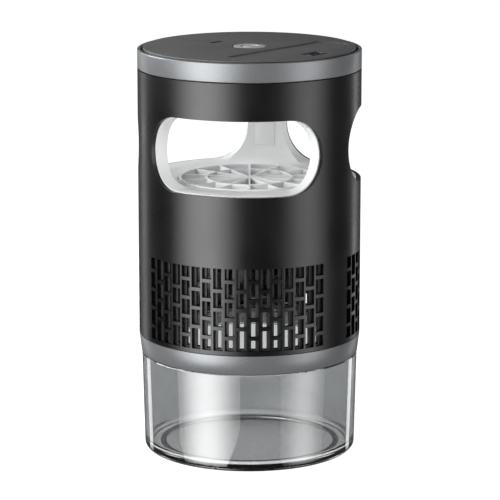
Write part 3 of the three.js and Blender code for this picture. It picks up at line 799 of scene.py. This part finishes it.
# %% Top plate
PLATE_R = 51.7 * MM
plate_low = 195.0 * MM
plate = spun("grey_top_plate", [
    (0, plate_low), (47.4 * MM, plate_low), (47.4 * MM, PLATE_SKIRT), (PLATE_R, PLATE_SKIRT),
    (PLATE_R, TOP - 0.35 * MM), (PLATE_R - 0.12 * MM, TOP - 0.1 * MM), (PLATE_R - 0.4 * MM, TOP), (0, TOP)])
PIVOT_Y, PIVOT_Z, EDGE_R = -16.8 * MM, 198.5 * MM, 1.3 * MM
HANDLE_X, OUTER_Y = 34.0 * MM, -35.2 * MM


def bezier(p0, p1, p2, p3, steps=14):
    points = []
    for i in range(1, steps + 1):
        t = i / steps
        weights = ((1 - t) ** 3, 3 * t * (1 - t) ** 2, 3 * t * t * (1 - t), t ** 3)
        points.append(tuple(sum(w * p[k] for w, p in zip(weights, (p0, p1, p2, p3))) for k in (0, 1)))
    return points


def handle_outline(margin):
    """The strip seen from above: a straight hinge edge, bulging ends and a straight outer edge."""
    x, y = HANDLE_X + margin, OUTER_Y - margin
    start = (-x, PIVOT_Y)
    turn_in = (-x + 6 * MM, y)
    left = bezier(start, (-x, PIVOT_Y - 5 * MM), (-x - 5.5 * MM, y + 0.4 * MM), turn_in)
    right = [(-px, py) for px, py in reversed([start] + left)]
    return [start] + left + right


def slab(name, outline, low, high):
    """Walks an outline with extrude, fills it and lifts it to a slab."""
    deselect()
    bpy.ops.mesh.primitive_plane_add(size=MM)
    made = bpy.context.object
    made.name = name
    bpy.ops.object.mode_set(mode="EDIT")
    bpy.ops.mesh.merge(type="CENTER")
    bpy.ops.transform.translate(value=(outline[0][0], outline[0][1], low))
    for (x0, y0), (x1, y1) in zip(outline, outline[1:]):
        bpy.ops.mesh.extrude_vertices_move(TRANSFORM_OT_translate={"value": (x1 - x0, y1 - y0, 0)})
    bpy.ops.mesh.select_all(action="SELECT")
    bpy.ops.mesh.edge_face_add()
    bpy.ops.mesh.extrude_region_move(TRANSFORM_OT_translate={"value": (0, 0, high - low)})
    merge_and_face_out()
    return made


def hinge_rod(name, radius, length, x=0.0, sides=40):
    """A round bar along the handle's hinge line."""
    deselect()
    bpy.ops.mesh.primitive_cylinder_add(vertices=sides, radius=radius, depth=length,
                                        location=(x, PIVOT_Y, PIVOT_Z), rotation=(0, math.pi / 2, 0))
    made = bpy.context.object
    made.name = name
    bpy.ops.object.transform_apply(location=True, rotation=True, scale=True)
    return made


recess_floor = PIVOT_Z - EDGE_R - GAP
SOCKET_Y, SENSOR_Y = -40.5 * MM, 21.1 * MM
SENSOR = (8.7 * MM, 2.7 * MM)
sensor_slot = bar("sensor_slot", (SENSOR[0], SENSOR[1], 8 * MM), (0, SENSOR_Y, 198 * MM))
bevelled(sensor_slot, 0.9, segments=4, angle=60)
cut_with(plate,
         slab("recess", handle_outline(0.75 * MM), recess_floor, TOP + MM),
         hinge_rod("hinge_groove", EDGE_R + GAP, 2 * (HANDLE_X + GAP)),
         bar("groove_mouth", (2 * (HANDLE_X + GAP), EDGE_R + GAP, 3 * MM),
             (0, PIVOT_Y + (EDGE_R + GAP) / 2, PIVOT_Z + 1.5 * MM)),
         rod("button_hole", 8.4 * MM, 194 * MM, 202 * MM, sides=96),
         bar("socket_hole", (12.7 * MM, 8.4 * MM, 8 * MM), (0, SOCKET_Y, 198 * MM)),
         sensor_slot)
settle(plate, "head", "grey_plastic", matt_grey, "top_plate")

# %% [markdown]
# ## Fold-up handle and its pins
# The handle is a rounded strip whose hinge edge is a half round about the pin line, so it clears the
# recess as it turns. A small bevel softens its rim.

# %% Handle
handle = slab("fold_up_handle", handle_outline(0), PIVOT_Z - EDGE_R, PIVOT_Z + EDGE_R)
LIP = 0.95 * MM
cut_with(handle, hinge_rod("barrel", EDGE_R, 2 * HANDLE_X),
         bar("lip", (2 * HANDLE_X, 2 * LIP, EDGE_R + MM), (0, PIVOT_Y, PIVOT_Z + (EDGE_R - MM) / 2)),
         operation="UNION")
bevelled(handle, 0.3, segments=2, angle=50)
for end in (-HANDLE_X, HANDLE_X):
    cut_with(handle, hinge_rod("pin_hole", 1.0 * MM, 8.6 * MM, end, sides=24))
settle(handle, "handle", "grey_plastic", matt_grey, "fold_handle")

# %% [markdown]
# ## Power button
# A flush aluminium disc with a ring groove as its mark, a chamfered rim and a hidden flange and stem
# below. The groove is real geometry, because a bump would not darken at its depth, and its walls and floor
# are also painted near black as painted shade.

# %% Power button
button_low = heights("power_button")[0]
BUTTON_R = 8.0 * MM
button = spun("aluminium_power_button", [
    (0, button_low), (2 * MM, button_low), (2 * MM, 193.3 * MM), (9.5 * MM, 193.3 * MM),
    (9.5 * MM, plate_low - 0.3 * MM), (BUTTON_R, plate_low - 0.3 * MM), (BUTTON_R, TOP - 0.35 * MM),
    (BUTTON_R - 0.1 * MM, TOP - 0.1 * MM), (BUTTON_R - 0.35 * MM, TOP),
    (4.35 * MM, TOP), (4.25 * MM, TOP - 0.35 * MM), (3.45 * MM, TOP - 0.35 * MM), (3.35 * MM, TOP),
    (0, TOP)], steps=128)
settle(button, "button", "button_metal", turned_aluminium, "power_button")

# %% [markdown]
# ## Small pieces from the CAD
# Small blocks keep their CAD outline. A copy of the node is merged, its flat facets are dissolved
# into whole faces, and a fine bevel is added, because no moulded edge is perfectly sharp.

# %% Refined copies
def refined(node, name, body, slot, material, bevel_mm=0.2, segments=2):
    copy = bpy.data.objects.new(name, cad[node].data.copy())
    bpy.context.scene.collection.objects.link(copy)
    pick(copy)
    bpy.ops.object.mode_set(mode="EDIT")
    bpy.ops.mesh.select_all(action="SELECT")
    bpy.ops.mesh.remove_doubles(threshold=1e-6)
    bpy.ops.mesh.dissolve_limited(angle_limit=1 * DEG)
    bpy.ops.object.mode_set(mode="OBJECT")
    bevelled(copy, bevel_mm, segments)
    settle(copy, body, slot, material, node)


refined("socket_surround", "black_socket_surround", "head", "socket_plastic", socket_black, 0.2)
socket_mouth = bar("bright_socket_rim", (10.2 * MM, 4.5 * MM, 0.3 * MM), (0, SOCKET_Y, TOP - 0.2 * MM))
cut_with(socket_mouth, bar("mouth", (9.4 * MM, 3.7 * MM, 4 * MM), (0, SOCKET_Y, TOP - 0.2 * MM)))
settle(socket_mouth, "head", "plated_steel", zinc_plate)
refined("sensor_window", "black_sensor_window", "head", "black_window", gloss_black, 0.15)
refined("battery_pack", "wrapped_battery", "head", "battery_wrap", blue_wrap, 0.8, 3)
refined("button_switch", "tact_switch", "head", "switch_plastic", matt_black, 0.15)
for i in range(1, 7):
    refined(f"lamp_led_{i}", f"lamp_body_{i}", "head", "led_body", lamp_body, 0.25)

# %% [markdown]
# ## Screws
# Every screw is a pan head with a cross recess. One is turned and cut, then copied to each place that
# the CAD gives, head up or head down, each copy with a mesh of its own.

# %% Screws
SCREWS = {"collar": ("down", 3), "bracket": ("down", 3), "top": ("down", 3),
          "motor": ("up", 3), "tray": ("up", 3), "board": ("up", 2)}
HEAD_HIGH, HEAD_R, SHANK_R = 1.3 * MM, 1.75 * MM, 1.0 * MM


def screw(name, length):
    made = spun(name, [(0, -length), (0.7 * MM, -length), (SHANK_R, -length + 0.5 * MM), (SHANK_R, 0),
                       (HEAD_R, 0), (HEAD_R, 0.5 * MM), (HEAD_R - 0.25 * MM, 1.0 * MM),
                       (HEAD_R - 0.8 * MM, HEAD_HIGH), (0, HEAD_HIGH)], steps=24)
    for turn in (0, 90):
        cut_with(made, bar("slot", (1.9 * MM, 0.42 * MM, 1.2 * MM), (0, 0, HEAD_HIGH), turn))
    return made


for kind, (way, count) in SCREWS.items():
    for i in range(1, count + 1):
        low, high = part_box(f"{kind}_screw_{i}")
        made = screw(f"{kind}_pan_screw_{i}", high[2] - low[2] - HEAD_HIGH)
        flip = Matrix.Rotation(math.pi, 4, "X") if way == "down" else Matrix.Identity(4)
        seat = low[2] + HEAD_HIGH if way == "down" else high[2] - HEAD_HIGH
        place = Matrix.Translation(((low[0] + high[0]) / 2, (low[1] + high[1]) / 2, seat))
        made.data.transform(place @ flip)
        settle(made, "head", "plated_steel", zinc_plate, f"{kind}_screw_{i}")

# %% [markdown]
# ## CAD pieces that stay
# The other nodes already have the right shape, so they only get the finish of their real material.

# %% Finishes of the CAD pieces that stay
KEPT = {
    "motor_bracket": matt_black, "fan_motor": rolled_steel, "fan_shaft": rolled_steel,
    "motor_cable": cable_rubber, "lamp_tray": satin_white, "lamp_lens": violet_lens, "lamp_board": white_mask,
    "control_board": green_mask, "socket_tongue": socket_black, "charging_socket": zinc_plate,
    "handle_pin_left": zinc_plate, "handle_pin_right": zinc_plate,
}
for name, material in KEPT.items():
    cad[name].data.materials.clear()
    cad[name].data.materials.append(material)
print("kept CAD nodes:", len(KEPT))
